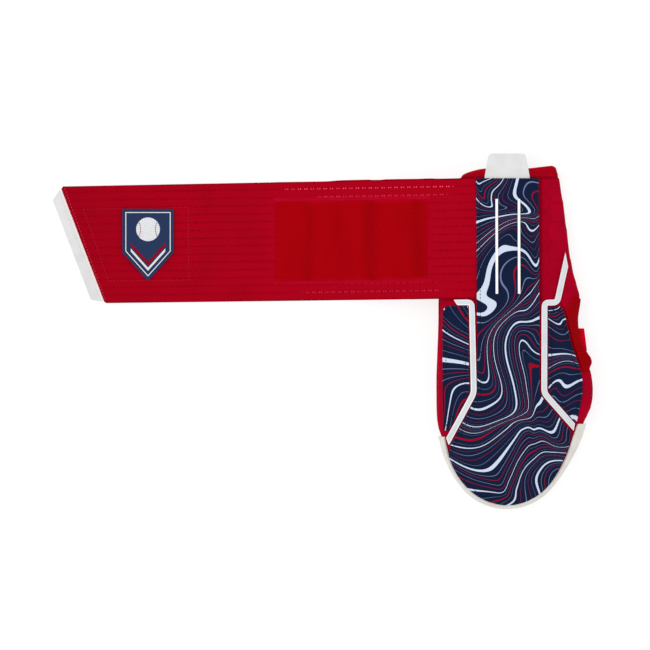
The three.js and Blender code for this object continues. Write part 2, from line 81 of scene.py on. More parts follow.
def editAll(piece):  # edit mode, with everything selected
    pick(piece)
    bpy.ops.object.mode_set(mode="EDIT")
    bpy.ops.mesh.select_all(action="SELECT")


def editFaces(piece, wanted):  # edit mode, with the faces that pass the test selected
    pick(piece)
    bpy.ops.object.mode_set(mode="EDIT")
    bpy.ops.mesh.select_mode(type="FACE")
    bpy.ops.mesh.select_all(action="DESELECT")
    bpy.ops.object.mode_set(mode="OBJECT")
    for face in piece.data.polygons:
        face.select = wanted(face)
    bpy.ops.object.mode_set(mode="EDIT")


def leaveEdit():
    bpy.ops.object.mode_set(mode="OBJECT")


def cutAway(piece, wanted):
    editFaces(piece, wanted)
    bpy.ops.mesh.delete(type="FACE")
    leaveEdit()


def inPlace(piece):  # every corner with its place in plan
    for corner in piece.data.vertices:
        yield corner, *inPlan(corner.co)


def finishWith(piece, kind, **settings):  # a modifier, set and applied
    pick(piece)
    bpy.ops.object.modifier_add(type=kind)
    modifier = piece.modifiers[-1]
    for name, value in settings.items():
        setattr(modifier, name, value)
    bpy.ops.object.modifier_apply(modifier=modifier.name)


def subdivide(piece, levels):
    finishWith(piece, "SUBSURF", levels=levels, render_levels=levels)


def roundEdges(piece, width, segments, angle, **more):  # bevels the edges that turn more than the angle
    finishWith(piece, "BEVEL", width=width, segments=segments, limit_method="ANGLE",
               angle_limit=math.radians(angle), **more)


def smoothShade(piece, angle=35):
    pick(piece)
    bpy.ops.object.shade_smooth_by_angle(angle=math.radians(angle))


def copyNode(node, name):  # a CAD node's mesh, merged and back in quads
    piece = bpy.data.objects.new(name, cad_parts[node].data.copy())
    scene.collection.objects.link(piece)
    piece.data.materials.clear()
    pick(piece)
    bpy.ops.mesh.customdata_custom_splitnormals_clear()
    editAll(piece)
    bpy.ops.mesh.remove_doubles(threshold=0.01 * mm)
    bpy.ops.mesh.tris_convert_to_quads(face_threshold=math.radians(40), shape_threshold=math.radians(60))
    leaveEdit()
    return piece


def softenNode(node, name, crease=0.7, sharp=50, levels=2):  # a copy whose hard edges turn slightly round
    piece = copyNode(node, name)
    bpy.ops.object.mode_set(mode="EDIT")
    bpy.ops.mesh.select_mode(type="EDGE")
    bpy.ops.mesh.select_all(action="DESELECT")
    bpy.ops.mesh.edges_select_sharp(sharpness=math.radians(sharp))
    bpy.ops.transform.edge_crease(value=crease)
    leaveEdit()
    subdivide(piece, levels)
    return piece


def treeOf(*objects):  # one surface to measure against, from several meshes
    corners = []
    faces = []
    for thing in objects:
        start = len(corners)
        corners += [corner.co.copy() for corner in thing.data.vertices]
        faces += [[start + i for i in face.vertices] for face in thing.data.polygons]
    return BVHTree.FromPolygons(corners, faces)


def nodeTree(*names):
    return treeOf(*(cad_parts[name] for name in names))


def heightOn(tree, place):  # height of the surface straight below a high point
    hit = tree.ray_cast(Vector((place.x, place.y, 1)), Vector((0, 0, -1)))[0]
    return hit.z if hit else None


def settle(piece, finish, slot, *nodes):  # finish, slot (not used), body and the CAD nodes that it stands for
    if finish:
        piece.data.materials.clear()
        piece.data.materials.append(finish.material)
    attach(piece, "root")
    if nodes:
        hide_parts(*nodes)


# Shader tools

class Wire:  # one socket, so that shader maths reads as Python
    def __init__(self, finish, socket):
        self.finish = finish
        self.socket = socket

    def math(self, operation, *others):
        return self.finish.add("ShaderNodeMath", {"operation": operation}, [self, *others])

    def __add__(self, other):
        return self.math("ADD", other)

    def __sub__(self, other):
        return self.math("SUBTRACT", other)

    def __rsub__(self, other):
        return self.finish.add("ShaderNodeMath", {"operation": "SUBTRACT"}, [other, self])

    def __mul__(self, other):
        return self.math("MULTIPLY", other)

    def __truediv__(self, other):
        return self.math("DIVIDE", other)

    def __mod__(self, other):
        return self.math("FLOORED_MODULO", other)

    def __pow__(self, other):
        return self.math("POWER", other)

    def __abs__(self):
        return self.math("ABSOLUTE")

    __radd__ = __add__
    __rmul__ = __mul__

    def fract(self):
        return self.math("FRACT")

    def larger(self, other):
        return self.math("MAXIMUM", other)

    def smaller(self, other):
        return self.math("MINIMUM", other)

    def step(self, low, high):  # 0 below low, 1 above high, smooth between
        values = {"Value": self, "From Min": low, "From Max": high}
        return self.finish.add("ShaderNodeMapRange", {"interpolation_type": "SMOOTHSTEP"}, values)

    def near(self, at, full, none):  # 1 within full of a value, 0 beyond none
        return 1 - abs(self - at).step(full, none)

    def between(self, low, high, fadeIn, fadeOut):  # 1 from low to high, with a fade at both ends
        return self.step(low, low + fadeIn) * (1 - self.step(high - fadeOut, high))

    def ridges(self, pitch):  # 0 to 1 and back in every pitch
        return abs((self / pitch).fract() - 0.5) * 2


class Finish:  # one material, with its fixed values on the shader
    def __init__(self, name, constants):
        self.material = bpy.data.materials.new(name)
        self.material.use_nodes = True
        self.tree = self.material.node_tree
        self.shader = self.tree.nodes["Principled BSDF"]
        for socket, value in constants.items():
            self.shader.inputs[socket].default_value = value
        self.place = self.add("ShaderNodeTexCoord", {}, {}, "Object")

    def add(self, kind, settings, sockets, out=0):  # settings first, then values or links
        node = self.tree.nodes.new(kind)
        for name, value in settings.items():
            if name == "stops":
                self.setStops(node.color_ramp, value)
            else:
                setattr(node, name, value)
        pairs = sockets.items() if isinstance(sockets, dict) else enumerate(sockets)
        for name, value in pairs:
            if isinstance(value, Wire):
                self.tree.links.new(value.socket, node.inputs[name])
            else:
                node.inputs[name].default_value = value
        return Wire(self, node.outputs[out])

    def setStops(self, ramp, stops):
        ramp.interpolation = "CONSTANT"
        while len(ramp.elements) < len(stops):
            ramp.elements.new(1)
        for element, (at, colour) in zip(ramp.elements, stops):
            element.position = at
            element.color = colour

    def feed(self, socket, wire):
        self.tree.links.new(wire.socket, self.shader.inputs[socket])

    def split(self, place=None):  # x, y and z of a place
        node = self.add("ShaderNodeSeparateXYZ", {}, [place or self.place]).socket.node
        return [Wire(self, output) for output in node.outputs]

    def beside(self, a, b):  # how far left of a plan line from a to b
        x, y = self.split()[:2]
        start = spot(*a)
        along = (spot(*b) - start).normalized()
        return (y - start.y) * along.x - (x - start.x) * along.y

    def noise(self, size, detail=2, place=None):
        values = {"Vector": place or self.place, "Scale": 1 / size, "Detail": detail}
        return self.add("ShaderNodeTexNoise", {}, values, "Fac")

    def cells(self, size, feature="F1"):
        values = {"Vector": self.place, "Scale": 1 / size}
        return self.add("ShaderNodeTexVoronoi", {"feature": feature}, values)

    def mix(self, share, first, second):  # colours, by a share from 0 to 1
        pair = {0: share, 6: first, 7: second}
        return self.add("ShaderNodeMix", {"data_type": "RGBA"}, pair, 2)

    def show(self, colour, roughness, height, depth, strength=1):  # the inputs that vary
        self.feed("Base Color", colour)
        if roughness:
            self.feed("Roughness", roughness)
        values = {"Height": height, "Distance": depth, "Strength": strength}
        self.feed("Normal", self.add("ShaderNodeBump", {}, values))
        return self


def tone(colour, share=1):  # a darker or lighter shade of one colour
    return tuple(min(1, part * share) for part in colour) + (1,)


# Finishes, in linear colour

cloth = {"Roughness": 0.85, "Specular IOR Level": 0.02}
rubber = {"Roughness": 0.5, "Specular IOR Level": 0.35}
colours = {
    "knit": (0.41, 0.0004, 0.017),
    "hem": (0.39, 0.0004, 0.0085),
    "strap": (0.36, 0.0003, 0.0095),
    "lit": (1.0, 0.075, 0.13),
    "rim": (0.435, 0.0012, 0.019),
    "webbing": (0.72, 0.0008, 0.0160),
    "rib": (0.35, 0.0003, 0.0030),
    "loop": (0.35, 0.0003, 0.0030),
    "hook": (0.25, 0.003, 0.006),
    "navy": (0.0075, 0.0135, 0.043),
    "slate": (0.17, 0.22, 0.38),
    "printRed": (0.36, 0.002, 0.018),
    "printWhite": (0.68, 0.76, 0.92),
    "trim": (0.62, 0.66, 0.69),
    "brightWhiteAndHighlight": (0.92, 0.93, 0.93),
    "rand": (0.745, 0.715, 0.67),
    # colour of the painted highlight along the grip's folded edge
    "tab": (0.69, 0.69, 0.69),
    "foldHighlight": (0.93, 0.90, 0.89),
    "badge": (0.025, 0.044, 0.112),
    "embroidery": (0.86, 0.88, 0.94),
}

knitStitch = {"wale": 0.9 * mm, "course": 0.75 * mm, "slant": 1.3}


def knitRows(across, along):  # V stitches in columns, 1 on the yarn
    column = abs((across / knitStitch["wale"]).fract() - 0.5)
    chevron = (along / knitStitch["course"] + column * knitStitch["slant"]).fract()
    yarn = 1 - abs(chevron - 0.5) * 2
    return yarn * (1 - (column * 2) ** 4)


def honeycomb(x, y, flat):  # distance from a cell's middle, flat / 2 on its walls
    stepX = flat * math.sqrt(3)

    def cell(px, py):
        gx = abs(px % stepX - stepX / 2)
        gy = abs(py % flat - flat / 2)
        return gy.larger(gx * math.cos(math.pi / 6) + gy * 0.5)

    return cell(x, y).smaller(cell(x + stepX / 2, y + flat / 2))


ribLine = {"slope": 1.7, "level": 89.7 * mm, "blend": (-10 * mm, 8 * mm)}  # knit turns into rib


def aboveRib(x, y):  # 0 on the rib's side of that line, 1 on the knit's
    return (y - toeY - (x - centreX) * ribLine["slope"] - ribLine["level"]).step(*ribLine["blend"])


def redKnit(name, rise, colour="knit"):  # rise says which way the side walls turn
    comb = {"flat": 17 * mm, "wall": 1.5 * mm, "from": 188 * mm, "to": 196 * mm}
    seam = {"hem": 294.4 * mm, "panel": 29.7 * mm, "from": 183 * mm, "fade": (3 * mm, 1 * mm)}
    seamWidth = (0.6 * mm, 1.9 * mm)
    side = {"inner": (44 * mm, 58 * mm), "low": (116 * mm, 124 * mm)}
    base = colours[colour]
    finish = Finish(name, cloth)
    x, y, z = finish.split()
    across = abs(x - centreX) + z * rise
    along = y - toeY
    yarn = knitRows(across, along)
    half = comb["flat"] / 2
    walls = honeycomb(x - centreX, along, comb["flat"]).step(half - comb["wall"], half)
    walls = walls * along.step(comb["from"], comb["to"])
    worn = finish.noise(22 * mm, 3)
    fleck = finish.noise(2.2 * mm).step(0.35, 0.65)
    sewn = along.near(seam["hem"], *seamWidth)
    drawn = (x - centreX).near(seam["panel"], *seamWidth)
    drawn = drawn * along.between(seam["from"], seam["hem"], *seam["fade"])
    # seam lines at the hem and beside the centre panel: dark seams, with painted shade laid along them
    seamAndShade = sewn.larger(drawn) * (0.3 + fleck * 0.35)
    beside = (x - centreX).step(*side["inner"]) * along.step(*side["low"]) * (1 - aboveRib(x, y))
    colour = finish.mix(worn.step(0.3, 0.75), tone(base, 0.9), tone(base, 1.08))
    colour = finish.mix(beside, colour, tone(colours["rib"], 0.95))
    # painted shade: the honeycomb's sunken walls drawn darker
    colour = finish.mix(walls * 0.21, colour, tone(base, 0.5))
    # painted shade between the yarn loops
    colour = finish.mix((1 - yarn) * 0.3, colour, tone(base, 0.5))
    colour = finish.mix(seamAndShade, colour, tone(base, 0.4))
    return finish.show(colour, 0.8 + worn * 0.15, yarn * 0.15 - walls * 0.7 - seamAndShade * 0.6, 0.5 * mm, 0.7)


def rowLevel(x, y):  # height in plan, with the strap's slope taken out
    return y - toeY - (x - centreX - lightRows["level"] * mm) * strap["slope"]


def lightDots(finish, x, y, off):  # pairs of dots where light shows through the mesh
    middle = spot(*strap["middle"])
    along = x - middle.x + (y - middle.y) * strap["slope"]
    level = rowLevel(x, y)
    turn = ((along / lightRows["pitch"]).fract() - 0.5) * lightRows["pitch"]
    aside = abs(abs(turn) - lightRows["pair"])
    dots = 1 - ((aside * aside + off * off) ** 0.5).step(*lightRows["dot"])
    strength = 0
    side = x - centreX
    for at, share, left, right in lightRows["rows"]:
        here = level.near(at * mm, *lightRows["band"])
        here = here * side.between(left * mm, right * mm, *lightRows["fade"])
        strength = here * share + strength
    uneven = finish.noise(5 * mm).step(0.3, 0.7) * 0.7 + 0.5
    return dots * strength * uneven


def fieldRim(x, y):  # cloth drawn lighter along the loop field's long edges
    rim = {"above": 2, "below": 1.2, "high": (1 * mm, 2.6 * mm), "low": (1 * mm, 2.2 * mm), "end": 3}
    level = rowLevel(x, y)
    high = level.near((loopField["high"] + rim["above"]) * mm, *rim["high"])
    low = level.near((loopField["low"] - rim["below"]) * mm, *rim["low"])
    left = (loopField["left"] - rim["end"]) * mm
    right = (loopField["right"] + rim["end"]) * mm
    return (high + low * 0.7) * (x - centreX).between(left, right, rim["end"] * mm, rim["end"] * mm)


def perforatedRed(name, shade, lit):
    weave = {"thread": 0.8 * mm, "wale": 1.91 * mm, "speck": 1.2 * mm, "patch": 16 * mm, "worn": 30 * mm}
    darkEnd = (-400 * mm, -300 * mm)  # darker at the free end, lighter from the loop field on
    lightEnd = (-226 * mm, -208 * mm)
    base = tone(colours["strap"], shade)[:3]
    rowPitch = strap["rowCells"] * strap["cell"][1] * mm
    finish = Finish(name, cloth)
    x, y = finish.split()[:2]
    low = abs(finish.beside(*strap["low"]))  # how far from the long edges and the slanted end
    high = abs(finish.beside(*strap["high"]))
    end = abs(finish.beside(strap["high"][0], strap["low"][0]))
    # painted shade: the strap's turned-down edges and slanted end drawn darker
    turnedEdgeShade = 1 - low.smaller(high).smaller(end).step(0.4 * mm, 1.3 * mm)
    middle = spot(*strap["middle"])
    across = y - middle.y - (x - middle.x) * strap["slope"]
    row = (across - strap["cell"][1] / 2 * mm).ridges(rowPitch)
    rib = across.ridges(rowPitch / 4)
    threads = x.ridges(weave["thread"])
    wale = x.ridges(weave["wale"])
    worn = finish.noise(weave["worn"], 4)
    speck = finish.noise(weave["speck"])
    patchy = finish.noise(weave["patch"]).step(0.35, 0.65)
    colour = finish.mix(worn.step(0.3, 0.7), tone(base, 0.95), tone(base, 1.05))
    for share, darker in (
        ((1 - (x - centreX).step(*darkEnd)) * 0.6, 0.83),
        ((x - centreX).step(*lightEnd), 1.07),
        (row.step(0.5, 1) * (0.15 + patchy * 0.16), 0.5),
        # painted shade in the grooves between the ribs
        (rib.step(0.75, 1) * 0.22, 0.55),
        (wale.step(0.6, 1) * patchy * 0.12, 0.55),
        (speck.step(0.5, 0.8) * 0.35, 0.7),
        (turnedEdgeShade * 0.85, 0.55),
    ):
        colour = finish.mix(share, colour, tone(base, darker))
    if lit:
        colour = finish.mix(fieldRim(x, y) * (0.45 + patchy * 0.55), colour, tone(colours["rim"]))
        dots = lightDots(finish, x, y, (1 - row) * (rowPitch / 2))
        colour = finish.mix(dots.smaller(1), colour, tone(colours["lit"]))
    height = (1 - rib) * 0.7 + threads * 0.2 + speck * 0.3
    return finish.show(colour, 0.78 + speck * 0.2, height, 0.3 * mm, 0.6)


def loopPile():
    wave = {"across": 20 * mm, "along": 85 * mm}  # soft vertical waves of painted shade
    shadeBands = [(-177, 8, 0.2), (-149, 8, 0.13), (-122, 11, 0.36), (-80, 12, 0.36)]  # painted shade bands: at, half width, how dark
    finish = Finish("loop pile", cloth)
    x, y = finish.split()[:2]
    fuzz = finish.noise(1.3 * mm, 4)
    place = finish.add("ShaderNodeCombineXYZ", {}, [x / wave["across"], y / wave["along"], 0])
    waveShade = finish.noise(1, 3, place)
    middle = spot((loopField["left"] + loopField["right"]) / 2, (loopField["low"] + loopField["high"]) / 2)
    reach = (loopField["high"] - loopField["low"]) / 2 * mm
    fromEdge = reach - abs(y - middle.y - (x - middle.x) * strap["slope"])
    sewn = (1 - fromEdge.step(0.5 * mm, 3.5 * mm)) * finish.noise(25 * mm).step(0.35, 0.65)
    # painted light on the raised fuzz and painted shade between the tufts
    colour = finish.mix(fuzz.step(0.3, 0.75), tone(colours["loop"], 0.95), tone(colours["loop"], 1.12))
    # painted shade in soft vertical waves
    colour = finish.mix(waveShade.step(0.4, 0.7) * 0.2, colour, tone(colours["loop"], 0.6))
    drift = x - centreX + (finish.noise(30 * mm) - 0.5) * (9 * mm)
    # painted shade in darker bands across the pile
    for at, half, depth in shadeBands:
        colour = finish.mix(drift.near(at * mm, 0, half * mm) * depth, colour, tone(colours["loop"], 0.6))
    colour = finish.mix(sewn * (0.2 + fuzz * 0.5), colour, tone(colours["strap"], 1.4))
    return finish.show(colour, 0.85 + fuzz * 0.15, fuzz, 0.6 * mm, 0.6)


def hookTape():
    finish = Finish("hook tape", {"Roughness": 0.55, "Specular IOR Level": 0.3})
    hooks = 1 - finish.cells(1.5 * mm).step(0.15, 0.5)
    # painted light on the hooks' tops and painted shade between them
    colour = finish.mix(hooks, tone(colours["hook"], 0.45), tone(colours["hook"], 1.15))
    return finish.show(colour, None, hooks, 0.8 * mm)


def ribMesh():  # stretch mesh with small holes in columns
    finish = Finish("rib mesh", cloth)
    x, y, z = finish.split()
    column = (x - z).ridges(2.3 * mm)
    dotY = y.ridges(2.1 * mm)
    hole = 1 - (column * column + dotY * dotY).step(0.05, 0.3)
    knitted = aboveRib(x, y)  # its top end runs into the knit of the cuff
    hole = hole * (1 - knitted)
    rib = column.step(0.2, 1)
    # painted light on the raised ribs and painted shade in the small holes
    colour = finish.mix(rib, tone(colours["rib"], 0.9), tone(colours["rib"], 1.12))
    colour = finish.mix(hole * 0.5, colour, tone(colours["rib"], 0.35))
    colour = finish.mix(knitted, colour, tone(colours["knit"], 0.9))
    return finish.show(colour, 0.8 + hole * 0.15, rib * 0.6 - hole, 0.6 * mm)


def redWebbing():
    finish = Finish("red webbing", cloth)
    x, y, z = finish.split()
    weave = (((x - z) / (1.1 * mm)).fract() - 0.5) * ((y / (1.4 * mm)).fract() - 0.5) * 4
    ridge = abs(weave)
    # painted shade in the low points of the weave
    colour = finish.mix(ridge, tone(colours["webbing"], 1.08), tone(colours["webbing"], 0.7))
    return finish.show(colour, 0.75 + ridge * 0.2, 1 - ridge, 0.35 * mm)


def pushed(finish, place, size, reach):  # a place stirred by a soft noise
    values = {"Vector": place, "Scale": 1 / size, "Detail": 0}
    stir = finish.add("ShaderNodeTexNoise", {"noise_dimensions": "2D"}, values, "Color")
    centred = finish.add("ShaderNodeVectorMath", {"operation": "SUBTRACT"}, [stir, (0.5, 0.5, 0.5)])
    scaled = finish.add("ShaderNodeVectorMath", {"operation": "SCALE"}, {0: centred, "Scale": reach})
    return finish.add("ShaderNodeVectorMath", {"operation": "ADD"}, [place, scaled])


def marbledNavy(name, shift, turn):  # lines of paint stirred in small steps, on navy knit
    stirs = {"sizes": [80, 72, 65, 58, 52, 47, 42], "reach": 0.58, "apart": (0.37, 0.53, 0)}
    period = 62 * mm
    lines = [
        (0.00, "printWhite", 0.038), (0.10, "slate", 0.007), (0.16, "printRed", 0.007),
        (0.23, "slate", 0.007), (0.30, "printRed", 0.008), (0.37, "printWhite", 0.014),
        (0.45, "slate", 0.007), (0.51, "printRed", 0.020), (0.59, "slate", 0.007),
        (0.66, "printWhite", 0.021), (0.74, "printRed", 0.006), (0.80, "slate", 0.007),
        (0.86, "printRed", 0.007), (0.93, "slate", 0.007),
    ]
    finish = Finish(name, cloth)
    values = {"Vector": finish.place, "Location": shift, "Rotation": (0, 0, turn)}
    place = finish.add("ShaderNodeMapping", {}, values)
    for size in stirs["sizes"]:
        place = finish.add("ShaderNodeVectorMath", {"operation": "ADD"}, [place, stirs["apart"]])
        place = pushed(finish, place, size * mm, size * mm * stirs["reach"])
    phase = (finish.split(place)[1] / period).fract()
    stops = []
    for at, ink, width in lines:
        stops.append((at, tone(colours[ink])))
        stops.append((at + width, tone(colours["navy"])))
    inks = finish.add("ShaderNodeValToRGB", {"stops": stops}, [phase])
    x, y = finish.split()[:2]
    yarn = knitRows(x, y)
    # painted shade between the yarn loops
    colour = finish.mix((1 - yarn) * 0.18, inks, tone(colours["navy"], 0.7))
    return finish.show(colour, 0.8 + yarn * 0.12, yarn, 0.12 * mm, 0.6)


def twill(name, colour, slant=1):  # diagonal ribs of embroidered cloth
    finish = Finish(name, cloth)
    x, y = finish.split()[:2]
    rib = (x + y * slant).ridges(0.9 * mm)
    fleck = finish.noise(1.5 * mm)
    # painted light on the rib tops and painted shade in the grooves
    shade = finish.mix(rib, tone(colour, 1.25), tone(colour, 0.65))
    shade = finish.mix(fleck * 0.4, shade, tone(colour, 0.8))
    return finish.show(shade, 0.6 + fleck * 0.25, 1 - rib, 0.25 * mm, 0.8)


def whiteRubber(name, colour, grain, foldHighlight=None):  # the last argument is a plan line along which a painted highlight makes it brighter
    finish = Finish(name, rubber)
    fine = finish.noise(grain, 3)
    smudge = finish.noise(14 * mm, 3)
    shade = finish.mix(smudge.step(0.35, 0.75), tone(colour, 1.02), tone(colour, 0.93))
    shade = finish.mix(fine.step(0.45, 0.8) * 0.4, shade, tone(colour, 0.9))
    if foldHighlight:
        # painted highlight along the tab's folded edge
        bright = finish.beside(*foldHighlight).near(0, 0.8 * mm, 2.6 * mm)
        shade = finish.mix(bright, shade, tone(colours["foldHighlight"]))
    return finish.show(shade, 0.42 + fine * 0.2, fine, 0.12 * mm, 0.5)


def grainedRand():  # pebbled synthetic leather
    finish = Finish("grained rand", rubber)
    pebble = finish.cells(1.3 * mm, "DISTANCE_TO_EDGE").step(0, 0.25)
    smudge = finish.noise(16 * mm, 3)
    shade = finish.mix(smudge.step(0.35, 0.75), tone(colours["rand"], 1.04), tone(colours["rand"], 0.93))
    # painted shade in the grooves between the pebbles
    shade = finish.mix((1 - pebble) * 0.3, shade, tone(colours["rand"], 0.8))
    return finish.show(shade, 0.5 + smudge * 0.15, pebble, 0.18 * mm, 0.6)


def thread(name, colour):  # twisted yarn
    finish = Finish(name, {"Roughness": 0.7, "Specular IOR Level": 0.05})
    x, y, z = finish.split()
    twist = (x + y + z).ridges(0.45 * mm)
    # painted light on the strands and painted shade in the twist's grooves
    return finish.show(finish.mix(twist, tone(colour, 1.15), tone(colour, 0.7)), None, 1 - twist, 0.1 * mm)


print("mitt: finishes")
knitBack = redKnit("red knit back", -1)
knitPalm = redKnit("red knit palm", 1)
knitHem = redKnit("red knit hem", -1, "hem")
hooks = hookTape()
ribbed = ribMesh()
webbing = redWebbing()
printBack = marbledNavy("marbled navy back", (3.60, 3.75, 0), 2.6)
printLeft = marbledNavy("marbled navy left", (5.21, 3.83, 0), 2.68)
printRight = marbledNavy("marbled navy right", (5.58, 4.44, 0), 3.09)
trimWhite = whiteRubber("trim white", colours["trim"], 0.9 * mm)
# bright white: the bars' own colour, and a painted highlight on the trim's chamfers
brightWhiteAndHighlight = whiteRubber("bright white and highlight", colours["brightWhiteAndHighlight"], 0.9 * mm)
tabWhite = whiteRubber("tab white", colours["tab"], 0.7 * mm)
rand = grainedRand()
badgeNavy = twill("badge navy", colours["badge"])
badgeWhite = twill("badge white", colours["embroidery"], -1)
badgeRed = twill("badge red", colours["strap"], -1)
navyThread = thread("navy thread", colours["navy"])
redThread = thread("red thread", (0.60, 0.022, 0.050))
endThread = thread("end thread", (0.75, 0.065, 0.10))
knitThread = thread("knit thread", tone(colours["knit"], 0.75)[:3])

# Stitching

stitching = {"length": 2.3 * mm, "thick": 0.6 * mm, "pitch": 3.2 * mm}
seams = {"knots": 1 * mm, "lift": 0.05 * mm, "rimStep": 1.5 * mm, "clear": 0.96}


def rimOf(piece, lowest=0.3):  # edge of the faces that look up, as points in order
    uses = {}
    for face in piece.data.polygons:
        if face.normal.z > lowest:
            for key in face.edge_keys:
                uses[key] = uses.get(key, 0) + 1
    beside = {}
    for a, b in (key for key, count in uses.items() if count == 1):
        beside.setdefault(a, []).append(b)
        beside.setdefault(b, []).append(a)
    start = min(beside)
    loop = [start, beside[start][0]]
    while loop[-1] != start:
        onward = [i for i in beside[loop[-1]] if i != loop[-2]]
        loop.append(onward[0])
    return [piece.data.vertices[i].co.copy() for i in loop[:-1]]


def evenly(points, spacing, closed=True):  # the same line with points at even steps
    line = points + points[:1] if closed else points
    even = [line[0]]
    left = spacing
    for a, b in zip(line, line[1:]):
        reach = (b - a).length
        while left <= reach:
            even.append(a.lerp(b, left / reach))
            left += spacing
        left -= reach
    return even


def insetRoute(rim, inset):  # the rim moved inwards in plan, without loops at corners
    flat = [place.xy for place in evenly(rim, seams["rimStep"])]
    count = len(flat)
    turn = sum(flat[i - 1].x * flat[i].y - flat[i].x * flat[i - 1].y for i in range(count))
    side = math.copysign(inset, turn)
    route = []
    for i, here in enumerate(flat):
        along = flat[(i + 1) % count] - flat[i - 1]
        moved = here + Vector((-along.y, along.x)).normalized() * side
        clear = True
        for j in range(count):
            near, share = geometry.intersect_point_line(moved, flat[j - 1], flat[j])
            if -0.01 < share < 1.01 and (near.xy - moved).length < inset * seams["clear"]:
                clear = False
                break
        if clear:
            route.append(moved)
    return route


def liftOnto(tree, route, lift):  # plan points put on a surface
    lifted = []
    for place in route:
        height = heightOn(tree, place)
        if height is not None:
            lifted.append(Vector((place.x, place.y, height + lift)))
    return lifted


def sew(name, route, finish, slot, closed=True, size=stitching):
    line = bpy.data.curves.new("seam line", "CURVE")
    line.dimensions = "3D"
    line.twist_mode = "Z_UP"
    spline = line.splines.new("POLY")
    spline.points.add(len(route) - 1)
    for knot, place in zip(spline.points, route):
        knot.co = (*place, 1)
    spline.use_cyclic_u = closed
    guide = bpy.data.objects.new("seam line", line)
    scene.collection.objects.link(guide)
    stitches = newPiece(name, bpy.ops.mesh.primitive_uv_sphere_add, segments=6, ring_count=4, radius=0.5)
    editAll(stitches)
    bpy.ops.transform.resize(value=(size["length"], size["thick"], size["thick"]))
    bpy.ops.transform.translate(value=(size["length"] / 2, 0, 0))
    leaveEdit()
    finishWith(stitches, "ARRAY", fit_type="FIT_CURVE", curve=guide, use_relative_offset=False,
               use_constant_offset=True, constant_offset_displace=(size["pitch"], 0, 0))
    finishWith(stitches, "CURVE", object=guide, deform_axis="POS_X")
    bpy.data.objects.remove(guide)
    smoothShade(stitches, 80)
    settle(stitches, finish, slot)


# Padded halves of the pouch

padding = {
    "voxel": 3.5 * mm,
    "smoothing": 6,
    "pressure": 4,
    "frames": 20,
    "swell": 2.2 * mm,  # the most that a free point moves
    "held": (1.5 * mm, 9 * mm),  # distance from a sewn layer: none free, all free
    "floor": 1.2 * mm,  # lower than this it rests flat
    "seam": 3 * mm,  # the lips of the side seam close up within this
    "close": 0.55,  # by this share of the way
    "rim": 9 * mm,  # the part at the cuff that stretches to the hem, and how far under it
    "lap": 0.8 * mm,
}


def padHalf(node, name, sewnTo, lipNodes):
    piece = copyNode(node, name)
    piece.data.remesh_voxel_size = padding["voxel"]
    bpy.ops.object.voxel_remesh()
    finishWith(piece, "SMOOTH", factor=0.5, iterations=padding["smoothing"])
    top = max(corner.co.y for corner in piece.data.vertices)
    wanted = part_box(node)[1].y + padding["lap"]
    for corner in piece.data.vertices:  # the remesh draws the cuff's rim back from the hem
        corner.co.y += (wanted - top) * smoothStep(corner.co.y, top - padding["rim"], top)
    layers = nodeTree(*sewnTo)
    lip = nodeTree(*lipNodes)
    free = []
    for corner in piece.data.vertices:
        share = smoothStep(layers.find_nearest(corner.co)[3], *padding["held"])
        free.append(share if corner.co.z > padding["floor"] else 0)
        touch, gap = lip.find_nearest(corner.co)[::3]
        if gap < padding["seam"]:
            corner.co = corner.co.lerp(touch, padding["close"])
    swell(piece, free)
    subdivide(piece, 1)
    smoothShade(piece, 60)
    return piece


def swell(piece, free):
    sewn = piece.vertex_groups.new(name="sewn")
    for index, share in enumerate(free):
        sewn.add([index], 1 - share, "REPLACE")
    before = [corner.co.copy() for corner in piece.data.vertices]
    pick(piece)
    bpy.ops.object.modifier_add(type="CLOTH")
    cushion = piece.modifiers[-1]
    cushion.settings.quality = 5
    cushion.settings.use_pressure = True
    cushion.settings.uniform_pressure_force = padding["pressure"]
    cushion.settings.vertex_group_mass = "sewn"
    cushion.settings.effector_weights.gravity = 0
    cushion.collision_settings.use_collision = False
    cushion.point_cache.frame_end = padding["frames"]
    for number in range(1, padding["frames"] + 1):
        scene.frame_set(number)
    bpy.ops.object.modifier_apply(modifier=cushion.name)
    scene.frame_set(1)
    for corner, was, share in zip(piece.data.vertices, before, free):
        move = corner.co - was
        most = padding["swell"] * share
        if move.length > most:
            move = move.normalized() * most
        corner.co = was + move
    piece.vertex_groups.clear()


print("mitt: padded halves")
onBack = ["back_panel", "side_panel_left", "side_panel_right", "trim_strip_left", "trim_strip_right",
          "side_gusset", "side_tab", "toe_bumper", "cuff_hem", "wrist_strap", "pull_tab"]
backPad = padHalf("back_half", "padded_back", onBack, ["palm_half", "cuff_hem"])
settle(backPad, knitBack, "red_knit", "back_half")
onPalm = ["toe_bumper", "cuff_hem", "side_gusset", "side_tab"]
palmPad = padHalf("palm_half", "padded_palm", onPalm, ["back_half", "cuff_hem"])
settle(palmPad, knitPalm, "red_knit", "palm_half")

padTree = treeOf(backPad, palmPad)
toeBow = {
    "centre": 55,  # middle of the toe's arc, on the centre line
    "toe": (10, 50),  # all of the move below the first, none above the second
    "left": (5, 45),
    "below": (45, 62),
    "panel": 1.2,  # how far the panel's edge reaches out
    "foot": 0.3,  # the rand: out at its foot, in and up at its top
    "tuck": 0.6,
    "rise": 1.1,
    "ridge": (17, 21),
    "steepest": 0.45,  # the panel never drops faster than on this slope
    "drop": 1.0,  # both come down at the tip, less at the upper right
    "low": (10, 45),
    "right": (5, 25),
}


def toeMove(x, y):  # outwards round the toe and up the left side
    side = smoothStep(-x, *toeBow["left"]) * (1 - smoothStep(y, *toeBow["below"]))
    share = max(1 - smoothStep(y, *toeBow["toe"]), side)
    return Vector((x, y - toeBow["centre"], 0)).normalized() * share


